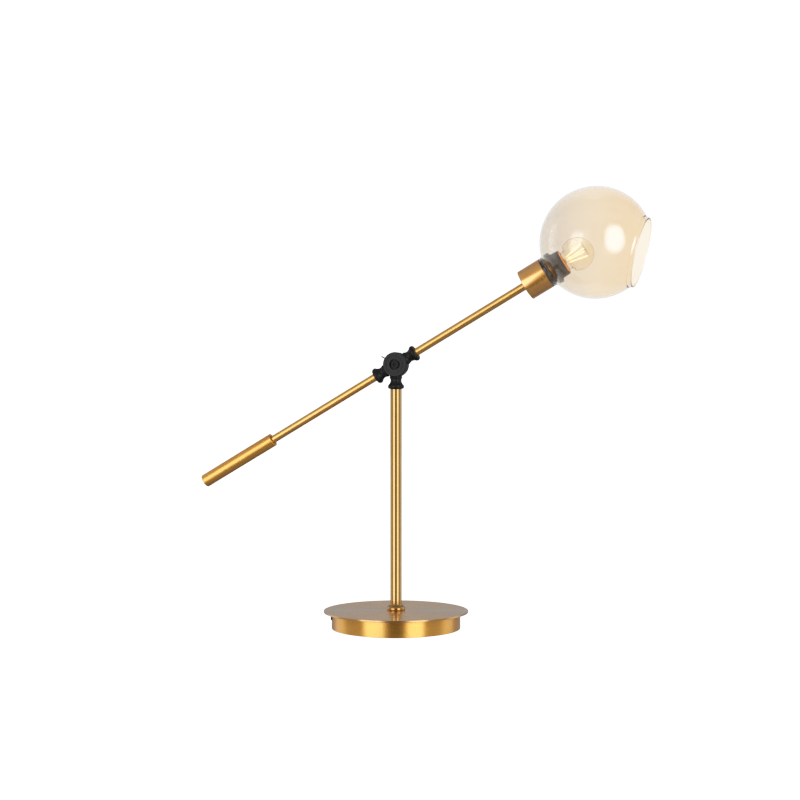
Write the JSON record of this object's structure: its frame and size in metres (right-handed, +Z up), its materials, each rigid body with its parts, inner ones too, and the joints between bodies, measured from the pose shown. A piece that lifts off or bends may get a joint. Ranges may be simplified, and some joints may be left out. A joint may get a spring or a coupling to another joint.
{
  "type": "architect lamp",
  "caption": "Table lamp: round weighted base, slim column, and a counterbalanced arm that tilts and turns on a knuckle, with an open glass globe around a screw-in bulb.",
  "frame": {"origin": "centre of the base's underside, on the column's axis", "axes": "+Z up along the column; +X towards the glass globe, with the arm in the X-Z plane; -Y is the front, where the knuckle's bolt head is"},
  "size_m": [0.6389, 0.2, 0.6005],
  "materials": {
    "plate_brass": "satin brushed, dark bronze-brass",
    "drum_brass": "satin brass",
    "column_brass": "polished brass",
    "arm_brass": "satin brass",
    "cup_brass": "brushed brass",
    "brass_inner": "plain brass",
    "black_lacquer": "satin black",
    "dark_steel": "blackened steel",
    "steel": "zinc plated",
    "cover_steel": "black",
    "cast_iron": "as cast, black primed",
    "felt": "dense felt",
    "black_rubber": "matt",
    "nylon": "plain",
    "ceramic": "unglazed",
    "lead_sheath": "plain",
    "holder_black": "satin",
    "copper": "copper plated",
    "amber_glass": "clear pale champagne",
    "bulb_glass": "clear",
    "bulb_cap": "nickel plated",
    "black_glass": "glossy",
    "filament": "phosphor coated rods",
    "bulb_wire": "plain"
  },
  "bodies": {
    "base_and_column": {"base_plate": "plate_brass", "base_drum": "drum_brass", "base_ballast": "cast_iron", "base_cover": "cover_steel", "felt_pad": "felt", "cover_screws": "steel", "cord_grommet": "black_rubber", "base_nipple": "steel", "nipple_washer": "steel", "nipple_nut": "steel", "column_foot_plug": "brass_inner", "foot_collar": "column_brass", "column_tube": "column_brass", "column_top_bush": "brass_inner", "swivel_washer": "nylon", "terminal_block": "ceramic", "terminal_screws": "brass_inner", "lead_column": "lead_sheath"},
    "knuckle": {"knuckle_stem": "black_lacquer", "swivel_post": "steel", "swivel_stop_ring": "steel", "stem_grub_screw": "dark_steel", "pivot_washer": "nylon", "lead_knuckle": "lead_sheath"},
    "arm": {"arm_hub": "black_lacquer", "pivot_bolt": "dark_steel", "pivot_spring_washer": "dark_steel", "pivot_nut": "dark_steel", "pivot_lock_pin": "dark_steel", "arm_tube_front": "arm_brass", "arm_tube_rear": "arm_brass", "hub_grub_screws": "dark_steel", "counterweight": "arm_brass", "counterweight_grub_screw": "dark_steel", "lead_arm": "lead_sheath", "shade_cup": "cup_brass", "head_nipple": "steel", "head_locknut": "steel", "neck_gasket": "black_rubber", "lampholder_body": "holder_black", "shade_ring": "holder_black", "socket_insert": "ceramic", "socket_terminals": "brass_inner", "socket_contact": "copper", "socket_shell": "copper", "shade_globe": "amber_glass", "bulb_glass": "bulb_glass", "bulb_cap": "bulb_cap", "bulb_cap_insulator": "black_glass", "bulb_contact": "bulb_cap", "bulb_stem": "bulb_glass", "bulb_filaments": "filament", "bulb_support_wires": "bulb_wire"}
  },
  "joints": [
    {"name": "column_swivel", "type": "hinge", "parent": "base_and_column", "child": "knuckle", "pos_m": [0, 0, 0.331], "axis": [0, 0, 1], "range_deg": [-160, 160]},
    {"name": "arm_tilt", "type": "hinge", "parent": "knuckle", "child": "arm", "pos_m": [0, 0, 0.365], "axis": [0, -1, 0], "range_deg": [-62, 3]}
  ]
}
